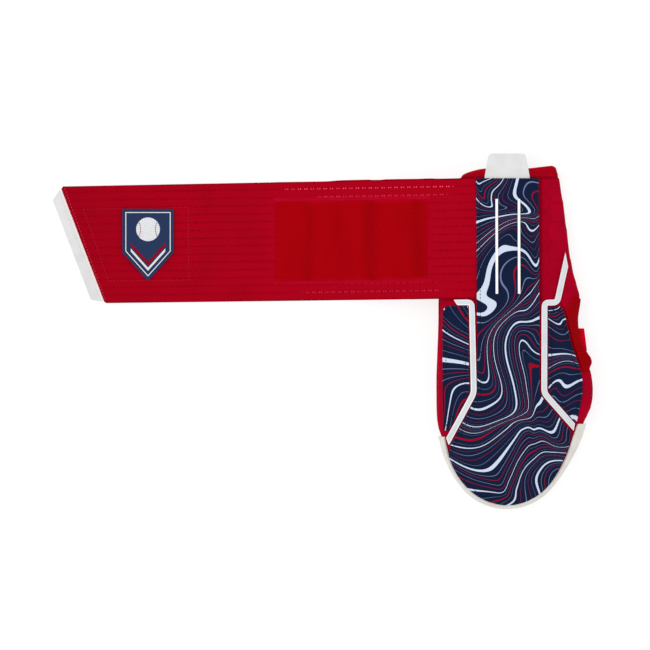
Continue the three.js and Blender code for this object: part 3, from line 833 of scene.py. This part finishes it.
def toeDrop(x, y, top):
    share = 1 - smoothStep(y, *toeBow["low"])
    return toeBow["drop"] * share * (1 - top * smoothStep(x, *toeBow["right"]))


def bowPanel(piece):  # slides down over the pad
    for corner, x, y in inPlace(piece):
        move = toeMove(x, y) * toeBow["panel"]
        move.y -= toeDrop(x, y, 1)
        normal = padTree.find_nearest(corner.co)[1]
        move.z = -normal.xy.dot(move.xy) / max(normal.z, toeBow["steepest"])
        corner.co += move * mm


def bowRand(piece):  # closes up to the panel's edge
    for corner, x, y in inPlace(piece):
        move = toeMove(x, y)
        share = move.length
        top = smoothStep(corner.co.z / mm, *toeBow["ridge"])
        move *= toeBow["foot"] * (1 - top) - toeBow["tuck"] * top
        move.y -= toeDrop(x, y, top)
        move.z = toeBow["rise"] * top * share
        corner.co += move * mm


print("mitt: hem, rand, tabs and gusset")
hem = softenNode("cuff_hem", "cuff_binding", 0.3)
hemShape = {
    "low": 294.5,
    "high": 303.6,
    "flush": 0.5 * mm,  # its lower edge comes down level with the pad
    "lap": 1.2 * mm,
    "near": (0.5, 3.5),  # in mm from that edge: all of it, none
    "middle": (2, 0, 12),
    "tilt": 0.12,  # the edge rises towards the thumb side
    "level": 26.5,
    "least": -0.9,
    "corner": (39.5, 44),
    "drop": 1.6,
    "seam": {"ends": (-37, 44), "level": 299.6, "least": -1.8, "pivot": 34, "tilt": 0.07, "tab": 17 * mm},
}
hemMiddle = spot(*hemShape["middle"])
for corner, x, y in inPlace(hem):
    inward = Vector((hemMiddle.x - corner.co.x, 0, hemMiddle.z - corner.co.z)).normalized()
    outer = corner.normal.dot(inward) < 0
    if outer:  # level with the pad where they meet
        near = 1 - smoothStep(y - hemShape["low"], *hemShape["near"])
        corner.co += (inward * hemShape["flush"] - Vector((0, hemShape["lap"], 0))) * near
    rise = smoothStep(y, hemShape["low"], hemShape["high"])
    lift = hemShape["least"]
    if x > 0:
        lift = max(lift, (x - hemShape["level"]) * hemShape["tilt"])
    corner.co.y += rise * (lift - hemShape["drop"] * smoothStep(x, *hemShape["corner"])) * mm
smoothShade(hem, 60)
settle(hem, knitHem, "red_knit", "cuff_hem")
hemTree = treeOf(hem)
hemSeam = hemShape["seam"]
hemRow = []
for x in range(*hemSeam["ends"]):
    rise = max(hemSeam["least"], (x - hemSeam["pivot"]) * hemSeam["tilt"])
    hemRow.append(spot(x, hemSeam["level"] + rise))
for name, side in (("hem_stitches_left", -1), ("hem_stitches_right", 1)):  # on both sides of the pull tab
    row = [place for place in hemRow if (place.x - centreX) * side > hemSeam["tab"]]
    route = liftOnto(hemTree, evenly(row, seams["knots"], False), seams["lift"])
    sew(name, route, knitThread, "red_knit", False)
bumper = softenNode("toe_bumper", "toe_rand", 0.92)
bowRand(bumper)
smoothShade(bumper, 60)
settle(bumper, rand, "off_white_rand", "toe_bumper")
pull = softenNode("pull_tab", "cuff_pull", 0.75)
smoothShade(pull, 50)
settle(pull, tabWhite, "white_tab", "pull_tab")
gusset = softenNode("side_gusset", "rib_gusset", 0.3)
ends = {"top": (176, 187), "low": (123, 130), "outer": (57, 63), "kept": 0.85, "gap": 0.15 * mm}
flank = {"from": 136, "at": 141, "to": 147, "inner": (62, 66), "reach": 1.4 * mm}  # swells by the tab
for corner, x, y in inPlace(gusset):
    top = smoothStep(y, *ends["top"]) * (1 - ends["kept"] * smoothStep(x, *ends["outer"]))
    share = max(top, 1 - smoothStep(y, *ends["low"]))
    swollen = smoothStep(y, flank["from"], flank["at"]) * (1 - smoothStep(y, flank["at"], flank["to"]))
    corner.co.x += flank["reach"] * swollen * smoothStep(x, *flank["inner"])
    touch, normal, index, gap = padTree.find_nearest(corner.co)
    if (corner.co - touch).dot(normal) > 0:
        corner.co = corner.co.lerp(touch + normal * min(gap, ends["gap"]), share)
smoothShade(gusset, 60)
settle(gusset, ribbed, "dark_red_rib", "side_gusset")
sideTab = softenNode("side_tab", "side_loop", 0.7)
smoothShade(sideTab, 50)
settle(sideTab, webbing, "red_webbing", "side_tab")

# Printed panels, with a row of stitches inside the edge

panels = {"inset": 3 * mm, "lift": 0.12 * mm, "crease": 0.95}


def makePanel(node, name, finish):
    piece = softenNode(node, name, panels["crease"])
    if node == "back_panel":
        bowPanel(piece)
    smoothShade(piece, 50)
    route = insetRoute(rimOf(piece), panels["inset"])
    settle(piece, finish, "navy_print", node)
    route = liftOnto(treeOf(piece), route, panels["lift"])
    sew(name + "_stitches", evenly(route, seams["knots"]), navyThread, "navy_print")
    return piece


print("mitt: printed panels")
backPrint = makePanel("back_panel", "back_print", printBack)
leftPrint = makePanel("side_panel_left", "left_print", printLeft)
rightPrint = makePanel("side_panel_right", "right_print", printRight)

# Raised white strips with chamfered edges, and the two bars

trims = {"chamfer": 1.15 * mm, "barRound": 0.4 * mm}


def makeTrim(node, name):  # the chamfers carry a painted highlight, brighter than the flat top
    piece = copyNode(node, name)
    piece.data.materials.append(brightWhiteAndHighlight.material)
    piece.data.materials.append(trimWhite.material)
    for face in piece.data.polygons:
        face.material_index = 1 if face.normal.z > 0.5 else 0
    roundEdges(piece, trims["chamfer"], 2, 50, material=0)
    smoothShade(piece, 30)
    settle(piece, None, "white_trim", node)


def makeBar(node, name):
    piece = copyNode(node, name)
    roundEdges(piece, trims["barRound"], 3, 50)
    smoothShade(piece, 40)
    settle(piece, brightWhiteAndHighlight, "white_trim", node)


print("mitt: trim and bars")
makeTrim("trim_strip_left", "left_trim")
makeTrim("trim_strip_right", "right_trim")
makeBar("accent_bar_left", "left_bar")
makeBar("accent_bar_right", "right_bar")

# Wide strap: a perforated face on a plain lining

strap = {
    "cell": (2.87, 1.1833),  # half the holes' spacing, a part of the rows'
    "rowCells": 6,
    "liningCell": (5.74, 1.775),
    "slope": 0.0155,  # the strap runs slightly uphill
    "size": (430, 134),
    "middle": (-187, 241.3),
    "low": ((-358.4, 182.8), (-25.5, 186.9)),
    "high": ((-397.9, 286.8), (-25.5, 294.2)),
    "tongue": {"from": -22, "to": 24, "low": 190, "high": 283},
    "holeInset": 0.35,
    "holeCorner": 0.12,
    "round": (2.2, 1.3),  # corners of the free end, high and low
    "face": 0.45,
    "lining": 1.45,
    "margin": 4.5,  # no holes this near the edges, end and loop field
    "endMargin": 8,
    "fieldMargin": (3, 2),
    "holesTo": -29,
    "edgePress": (0.45, 1.8),  # how much lower the edge is, and over what width
    "wave": (0.9, 0.075, 0.35),  # height in mm, size in m and level of its own unevenness
    "smoothing": 60,
    "inner": 0.985,  # heights are read this far towards the middle line
    "freeEnd": (-340, 3.5),  # and this far inwards past this place
    "layerGap": 0.05,
    "besideHole": 1.7,  # where the face is found again beside a hole or an edge
    "besideEdge": 3,
}
loopField = {
    "left": -206.4, "right": -70.8, "low": 203.3, "high": 274.1,
    "cell": 0.9, "thickness": 1.4, "margin": 4.2, "backing": 0.9 * mm,
    "edge": 0.25,  # thickness at the sewn edge
    "ragged": {"size": 2.5, "reach": 0.5, "width": 1.5},
    "tuft": (3.2 * mm, 0.5 * mm),
}
lightRows = {  # light shows through above and below the loop field
    "left": -200, "right": -46, "low": 202, "high": 276.2,
    "level": -138.6,  # where a row's level is read
    "rows": [  # level, strength, left and right end
        (285.2, 1.2, -204, -46),
        (278.1, 0.5, -175, -51),
        (200, 0.13, -155, -56),
        (193, 0.38, -190, -56),
    ],
    "band": (2 * mm, 3 * mm),
    "fade": (14 * mm, 5 * mm),
    "pitch": 5.74 * mm,
    "pair": 1.0 * mm,  # half the distance between the two dots of a pair
    "dot": (0.25 * mm, 0.8 * mm),
}


def edgeDistance(place, a, b):  # signed distance in mm from a line, positive on its left
    x, y = inPlan(place)
    runX = b[0] - a[0]
    runY = b[1] - a[1]
    return (runX * (y - a[1]) - runY * (x - a[0])) / math.hypot(runX, runY)


def strapInsets(place):  # how far inside the low, high and slanted edges
    low = edgeDistance(place, *strap["low"])
    high = -edgeDistance(place, *strap["high"])
    end = -edgeDistance(place, strap["low"][0], strap["high"][0])
    return low, high, end


def cellOf(x, y):  # column and row of the strap's own grid
    dx = x - strap["middle"][0]
    dy = y - strap["middle"][1]
    along = dx * math.cos(strap["slope"]) + dy * math.sin(strap["slope"])
    across = dy * math.cos(strap["slope"]) - dx * math.sin(strap["slope"])
    return math.floor(along / strap["cell"][0]), math.floor(across / strap["cell"][1])


def isHole(face):
    low, high, end = strapInsets(face.center)
    x, y = inPlan(face.center)
    if min(low, high) < strap["margin"] or end < strap["endMargin"] or x > strap["holesTo"]:
        return False
    besideX, besideY = strap["fieldMargin"]
    inX = loopField["left"] - besideX < x < loopField["right"] + besideX
    inY = loopField["low"] - besideY < levelOf(x, y) < loopField["high"] + besideY
    if inX and inY or inLightRows(face):
        return False
    column, row = cellOf(x, y)
    line, rest = divmod(row, strap["rowCells"])
    return rest == 0 and (column + line) % 2 == 0


def levelOf(x, y):  # the same level as rowLevel's, in mm
    return y - strap["slope"] * (x - lightRows["level"])


def offTongue(face):  # past the narrow sewn end, which the centre panel covers
    tongue = strap["tongue"]
    x, y = inPlan(face.center)
    return x > tongue["to"] or x > tongue["from"] and not tongue["low"] < y < tongue["high"]


def inLightRows(face):
    x, y = inPlan(face.center)
    beside = lightRows["left"] < x < lightRows["right"]
    return beside and not lightRows["low"] < levelOf(x, y) < lightRows["high"]


def clothGrid(name, cells, size, middle, turn=0):  # a flat grid, its size in mm
    piece = newPiece(name, bpy.ops.mesh.primitive_grid_add, size=1, location=spot(*middle),
                     rotation=(0, 0, turn), x_subdivisions=cells[0], y_subdivisions=cells[1])
    piece.scale = (size[0] * mm, size[1] * mm, 1)
    bpy.ops.object.transform_apply(location=True, rotation=True, scale=True)
    return piece


def strapGrid(name, cell):
    cells = [2 * round(strap["size"][i] / cell[i] / 2) for i in range(2)]
    size = [cells[i] * cell[i] for i in range(2)]
    return clothGrid(name, cells, size, strap["middle"], strap["slope"])


def trimTo(a, b):  # cuts away what lies right of the line from a to b
    along = (spot(*b) - spot(*a)).normalized()
    bpy.ops.mesh.select_all(action="SELECT")
    bpy.ops.mesh.bisect(plane_co=spot(*a), plane_no=(along.y, -along.x, 0), clear_outer=True)


def towards(a, b, reach):  # the point at this distance from a on the way to b
    share = reach / math.dist(a, b)
    return a[0] + (b[0] - a[0]) * share, a[1] + (b[1] - a[1]) * share


def trimToOutline(piece):
    pick(piece)
    bpy.ops.object.mode_set(mode="EDIT")
    trimTo(*strap["low"])
    trimTo(*reversed(strap["high"]))
    trimTo(strap["high"][0], strap["low"][0])
    highEnd, highFar = strap["high"]
    lowEnd, lowFar = strap["low"]
    turns = (highEnd, highFar, lowEnd), (lowEnd, highEnd, lowFar)
    for (corner, before, after), cut in zip(turns, strap["round"]):
        trimTo(towards(corner, before, cut), towards(corner, after, cut))
    leaveEdit()


def inner(y):  # a little nearer to the strap's middle line
    return strap["middle"][1] + (y - strap["middle"][1]) * strap["inner"]


def drape(piece):  # heights from the CAD strap, smoothed, with a slight wave
    under = nodeTree("wrist_strap")
    freeEnd, inwards = strap["freeEnd"]
    last = 0
    for corner, x, y in inPlace(piece):
        height = heightOn(under, spot(x + inwards if x < freeEnd else x, inner(y)))
        last = last if height is None else height
        corner.co.z = last
    finishWith(piece, "SMOOTH", factor=0.5, iterations=strap["smoothing"], use_x=False, use_y=False)
    height, size, level = strap["wave"]
    ripple = bpy.data.textures.new("strap wave", "CLOUDS")
    ripple.noise_scale = size
    finishWith(piece, "DISPLACE", texture=ripple, texture_coords="LOCAL", direction="Z", mid_level=level,
               strength=height * mm)
    press, reach = strap["edgePress"]
    lowest = strap["face"] + strap["lining"] + press + strap["layerGap"]
    for corner in piece.data.vertices:
        edge = 1 - smoothStep(min(strapInsets(corner.co)), 0, reach)
        corner.co.z = max(corner.co.z, lowest * mm) - press * edge * mm


def lieUnderFace(piece, depth):  # this far below the face's top, also behind its holes
    aside = strap["besideHole"]
    last = 0
    for corner, x, y in inPlace(piece):
        tries = [(x, y), (x + aside, y), (x - aside, y), (x + strap["besideEdge"], inner(y))]
        heights = [heightOn(strapTop, spot(*place)) for place in tries]
        last = next((height for height in heights if height is not None), last)
        corner.co.z = last - depth * mm


def makeStrapFace():
    piece = strapGrid("strap_face", strap["cell"])
    editFaces(piece, isHole)
    bpy.ops.mesh.inset(thickness=strap["holeInset"] * mm, use_individual=True)
    bpy.ops.mesh.bevel(affect="VERTICES", offset=strap["holeCorner"] * mm)  # slots with rounded ends
    bpy.ops.mesh.delete(type="FACE")
    leaveEdit()
    cutAway(piece, offTongue)
    trimToOutline(piece)
    drape(piece)
    finishWith(piece, "SOLIDIFY", thickness=strap["face"] * mm, offset=-1)
    smoothShade(piece, 50)
    return piece


def makeLining():
    piece = strapGrid("strap_lining", strap["liningCell"])
    cutAway(piece, offTongue)
    trimToOutline(piece)
    lieUnderFace(piece, strap["face"] + strap["layerGap"])
    finishWith(piece, "SOLIDIFY", thickness=strap["lining"] * mm, offset=-1)
    smoothShade(piece, 50)
    return piece


print("mitt: wrist strap")
strapFace = perforatedRed("perforated red", 1, True)
strapBack = perforatedRed("lining red", 1.7, False)  # painted lighter than the face, against the shade inside the holes, so that the holes stay soft
wristStrap = makeStrapFace()
settle(wristStrap, strapFace, "red_perforated", "wrist_strap")
strapTop = treeOf(wristStrap)
lining = makeLining()
settle(lining, strapBack, "red_perforated")
gripWhite = whiteRubber("grip white", colours["tab"], 0.7 * mm, (strap["high"][0], strap["low"][0]))
grip = copyNode("strap_end_tab", "strap_grip")
gripShape = {"out": 0.6, "slant": 1.6, "ends": (183, 287), "round": 0.5 * mm}
for corner, x, y in inPlace(grip):  # follows the slant of the strap's end
    corner.co.x -= (gripShape["out"] + gripShape["slant"] * smoothStep(y, *gripShape["ends"])) * mm
roundEdges(grip, gripShape["round"], 3, 20)
smoothShade(grip, 40)
settle(grip, gripWhite, "white_tab", "strap_end_tab")

stitchRuns = {
    "strap_end_stitches": [(-394.3, 285.5), (-357.3, 184.2)],
    "hook_outline_stitches": [(-377.4, 266.6), (-283.9, 268.3), (-283.4, 203.4), (-355.2, 202.5)],
}
strapStitch = {"length": 2 * mm, "thick": 0.45 * mm, "pitch": 2.9 * mm}
for name, corners in stitchRuns.items():
    closed = len(corners) > 2
    route = evenly([spot(x, y) for x, y in corners], seams["knots"], closed)
    route = liftOnto(strapTop, route, 2 * seams["lift"])
    sew(name, route, redThread if closed else endThread, "red_webbing", closed, strapStitch)

# Loop field: pressed flat at its sewn edge, deep inside it

def makeLoopField():
    size = [loopField["right"] - loopField["left"], loopField["high"] - loopField["low"]]
    middle = [(loopField["left"] + loopField["right"]) / 2, (loopField["low"] + loopField["high"]) / 2]
    cells = [round(length / loopField["cell"]) for length in size]
    ragged = loopField["ragged"]
    thin = loopField["edge"]
    piece = clothGrid("loop_field", cells, size, middle)
    for corner, x, y in inPlace(piece):
        corner.co.y += strap["slope"] * (x - middle[0]) * mm
        inside = min(size[0] / 2 - abs(x - middle[0]), size[1] / 2 - abs(y - middle[1]))
        wander = noise.noise(Vector((x, y, 0)) / ragged["size"]) * ragged["reach"]
        wander *= 1 - smoothStep(inside, 0, ragged["width"])
        corner.co += Vector((wander, wander, 0)) * mm
        rise = thin + (loopField["thickness"] - thin) * smoothStep(inside, 0, loopField["margin"])
        corner.co.z = heightOn(strapTop, corner.co) + rise * mm
    size, height = loopField["tuft"]
    tufts = bpy.data.textures.new("pile tufts", "CLOUDS")
    tufts.noise_scale = size
    tufts.noise_depth = 3
    finishWith(piece, "DISPLACE", texture=tufts, texture_coords="LOCAL", direction="Z", strength=height)
    finishWith(piece, "SOLIDIFY", thickness=loopField["backing"], offset=-1)
    smoothShade(piece, 60)
    return piece


print("mitt: loop and hook fields")
pile = loopPile()
loops = makeLoopField()
settle(loops, pile, "dark_red_loop", "loop_patch")
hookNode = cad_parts["hook_patch"]
hookNode.data.materials.clear()
hookNode.data.materials.append(hooks.material)

# Sewn badge: a plate-shaped patch with a plain ball over two chevrons

badge = {
    "border": 1.7 * mm,
    "round": 0.35 * mm,
    "sink": 0.4 * mm,  # the field lies lower than the border
    "lineGap": 1.1 * mm,
    "line": 0.8 * mm,
    "raise": 0.3 * mm,
    "ball": {"at": (-319.8, 248.6), "radius": 10.6, "dome": 0.9},
    "seam": {"reach": 1.25, "away": 1.5, "turn": 46, "step": 4},  # two arcs of stitches on the ball
    "stitch": {"length": 1.5 * mm, "thick": 0.8 * mm, "pitch": 1.9 * mm},
    "corners": [(0, 202.3), (23, 228), (23, 266.8), (-23, 266.8), (-23, 228)],
    "chevrons": [("badge_chevron_white", 211.6, 2.8), ("badge_chevron_red", 216.6, 2.8)],
    "chevronRound": 0.12 * mm,
    "chevronHalf": 15.4,
    "chevronRise": 1.117,  # slope of the patch's lower edges
}
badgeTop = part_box("strap_badge")[1].z
fieldTop = badgeTop - badge["sink"]


def makePatch():
    piece = copyNode("strap_badge", "badge_patch")
    editFaces(piece, lambda face: face.normal.z > 0.9)
    bpy.ops.mesh.inset(thickness=badge["border"])
    bpy.ops.transform.translate(value=(0, 0, -badge["sink"]))
    leaveEdit()
    roundEdges(piece, badge["round"], 3, 40)
    smoothShade(piece, 50)
    settle(piece, badgeNavy, "navy_badge", "strap_badge")
    return piece


def flatShape(name, corners, height):  # one flat face, its corners from the badge's centre line
    piece = newPiece(name, bpy.ops.mesh.primitive_circle_add, vertices=len(corners), fill_type="NGON")
    for corner, (dx, y) in zip(piece.data.vertices, corners):
        corner.co = spot(badge["ball"]["at"][0] + dx, y)
        corner.co.z = height
    editAll(piece)
    bpy.ops.mesh.normals_make_consistent(inside=False)
    leaveEdit()
    return piece


def makeInnerLine():
    piece = flatShape("badge_line", badge["corners"], badgeTop)
    bpy.ops.object.mode_set(mode="EDIT")
    bpy.ops.mesh.select_mode(type="FACE")
    bpy.ops.mesh.select_all(action="SELECT")
    bpy.ops.mesh.inset(thickness=badge["border"] + badge["lineGap"])
    bpy.ops.mesh.select_all(action="INVERT")
    bpy.ops.mesh.delete(type="FACE")
    bpy.ops.mesh.select_all(action="SELECT")
    bpy.ops.mesh.inset(thickness=badge["line"])
    bpy.ops.mesh.delete(type="FACE")
    bpy.ops.mesh.select_all(action="SELECT")
    bpy.ops.transform.translate(value=(0, 0, badge["raise"] - badge["sink"]))
    leaveEdit()
    finishWith(piece, "SOLIDIFY", thickness=badge["raise"], offset=-1)
    settle(piece, badgeWhite, "white_trim")


def makeBall():
    ball = badge["ball"]
    middle = spot(*ball["at"])
    middle.z = fieldTop
    piece = newPiece("badge_ball", bpy.ops.mesh.primitive_uv_sphere_add, segments=48, ring_count=24)
    editAll(piece)
    bpy.ops.transform.resize(value=(ball["radius"] * mm, ball["radius"] * mm, ball["dome"] * mm))
    bpy.ops.transform.translate(value=middle)
    bpy.ops.mesh.bisect(plane_co=middle, plane_no=(0, 0, 1), clear_inner=True, use_fill=True)
    leaveEdit()
    smoothShade(piece, 60)
    settle(piece, badgeWhite, "white_trim")
    tree = treeOf(piece)
    seam = badge["seam"]
    reach = ball["radius"] * seam["reach"]
    turns = [math.radians(angle) for angle in range(-seam["turn"], seam["turn"] + 1, seam["step"])]
    for side, name in ((-1, "badge_seam_left"), (1, "badge_seam_right")):
        arc = [Vector((side * (seam["away"] - math.cos(turn)), math.sin(turn), 0)) for turn in turns]
        route = evenly([middle + place * reach * mm for place in arc], seams["knots"] / 2, False)
        sew(name, liftOnto(tree, route, seams["lift"]), badgeRed, "red_webbing", False, badge["stitch"])


def makeChevron(name, tip, width, finish):
    half = badge["chevronHalf"]
    rise = half * badge["chevronRise"]
    corners = [(0, tip), (half, tip + rise), (half, tip + rise + width), (0, tip + width),
               (-half, tip + rise + width), (-half, tip + rise)]
    piece = flatShape(name, corners, fieldTop)
    editAll(piece)
    bpy.ops.mesh.extrude_region_move(TRANSFORM_OT_translate={"value": (0, 0, badge["raise"])})
    bpy.ops.mesh.select_all(action="SELECT")
    bpy.ops.mesh.normals_make_consistent(inside=False)
    leaveEdit()
    roundEdges(piece, badge["chevronRound"], 2, 50)
    slot = "white_trim" if finish is badgeWhite else "red_webbing"
    settle(piece, finish, slot)


print("mitt: badge")
patch = makePatch()
makeInnerLine()
makeBall()
for (name, tip, width), finish in zip(badge["chevrons"], (badgeWhite, badgeRed)):
    makeChevron(name, tip, width, finish)

print("mitt: floor, light and camera")
studio = {"fill": 0.95, "floor": 0.24, "glow": 0.785}  # a lit table, so that shadows stay faint
lamp = {"power": 14, "size": 1.6, "from": (-0.7, 0.7, 2.4)}
view = {"middle": (-162, 163.3), "width": 578.5 * mm, "distance": 8.0, "focus": 20 * mm, "sensor": 36}

floor = newPiece("floor", bpy.ops.mesh.primitive_plane_add, size=8, location=(0, 0, 0))
paper = Finish("floor paper", {"Roughness": 0.9, "Specular IOR Level": 0.1})
paper.shader.inputs["Base Color"].default_value = (studio["floor"],) * 3 + (1,)
paper.shader.inputs["Emission Color"].default_value = (1, 1, 1, 1)
paper.shader.inputs["Emission Strength"].default_value = studio["glow"]
floor.data.materials.append(paper.material)

world = bpy.data.worlds.new("studio")
world.use_nodes = True
world.node_tree.nodes["Background"].inputs["Color"].default_value = (1, 1, 1, 1)
world.node_tree.nodes["Background"].inputs["Strength"].default_value = studio["fill"]
scene.world = world
bpy.ops.object.light_add(type="AREA", location=lamp["from"])
key = bpy.context.object
key.data.size = lamp["size"]
key.data.energy = lamp["power"]
key.visible_camera = False
key.rotation_euler = (-Vector(lamp["from"])).to_track_quat("-Z", "Y").to_euler()

bpy.ops.object.camera_add(location=spot(*view["middle"], view["distance"] / mm))
camera = bpy.context.object
camera.data.sensor_width = view["sensor"]
camera.data.lens = view["sensor"] * (view["distance"] - view["focus"]) / view["width"]
scene.camera = camera
scene.view_settings.view_transform = "Standard"
